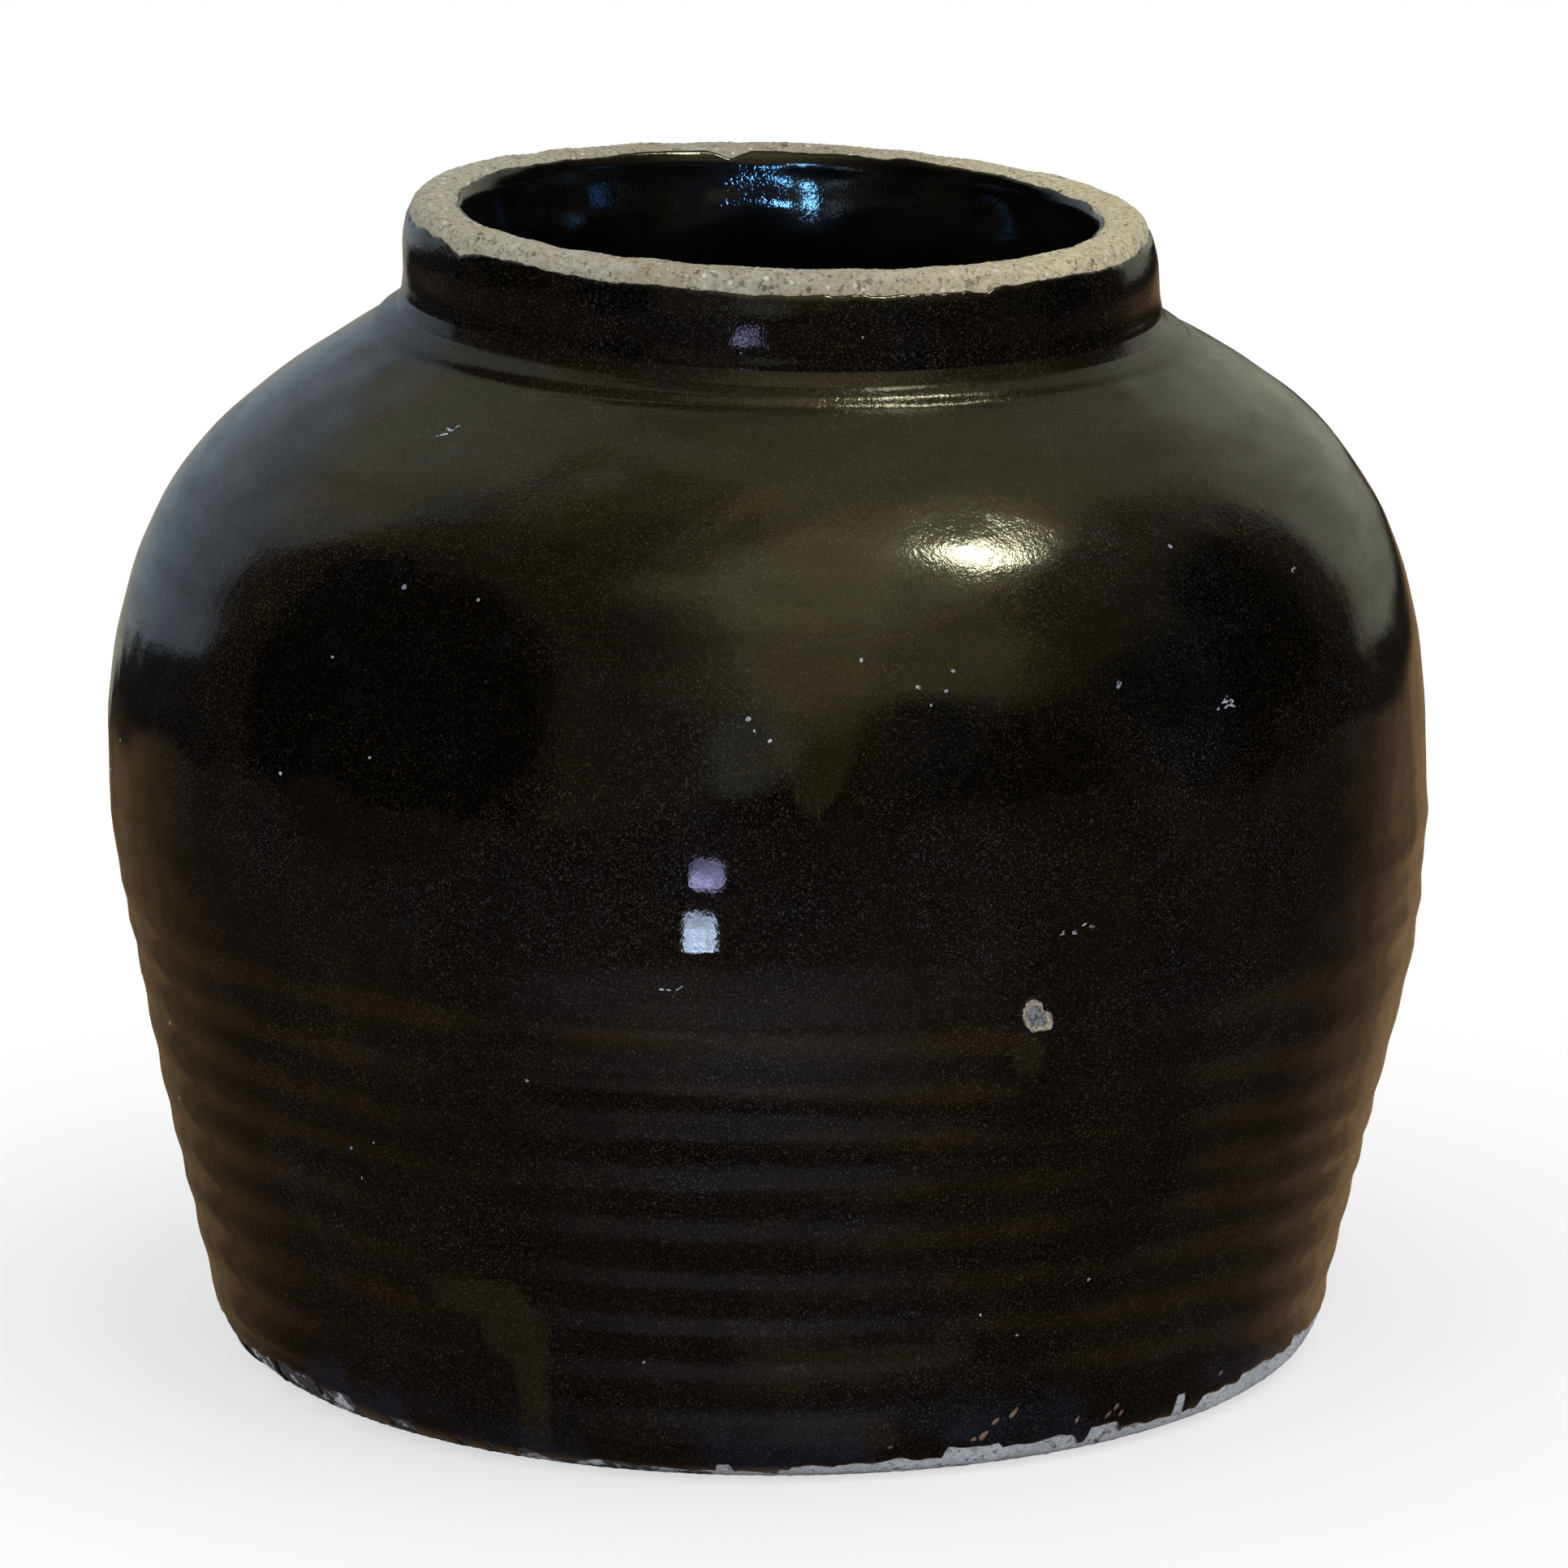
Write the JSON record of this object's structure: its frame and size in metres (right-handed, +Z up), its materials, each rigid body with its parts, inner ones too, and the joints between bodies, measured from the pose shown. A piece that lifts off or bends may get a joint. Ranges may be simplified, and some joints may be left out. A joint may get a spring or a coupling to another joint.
{
  "type": "storage jar",
  "caption": "Wide-bellied stoneware storage jar with a short upright neck, thick bare rim, glazed walls and a flat base; open at the top.",
  "frame": {"origin": "centre of the flat resting face under the base", "axes": "+Z up along the jar's turning axis, +X to the right and +Y away from the viewer; round, so X and Y are free"},
  "size_m": [0.2992, 0.2992, 0.2602],
  "materials": {
    "foot_clay": "bare fired stoneware, smooth underside with a grey, slightly chipped edge",
    "wall_clay": "bare fired stoneware under the glaze",
    "rim_clay": "bare buff stoneware with visible sand grains",
    "slip": "fired joining slip, matt",
    "outer_glaze": "glossy near-black brown iron glaze with fine golden speckle",
    "inner_glaze": "glossy black glaze"
  },
  "bodies": {
    "root": {"base_disc": "foot_clay", "base_slip_joint": "slip", "lower_wall": "wall_clay", "belly_slip_joint": "slip", "upper_wall": "wall_clay", "collar_slip_joint": "slip", "neck_collar": "rim_clay", "outer_glaze": "outer_glaze", "inner_glaze": "inner_glaze"}
  },
  "joints": []
}
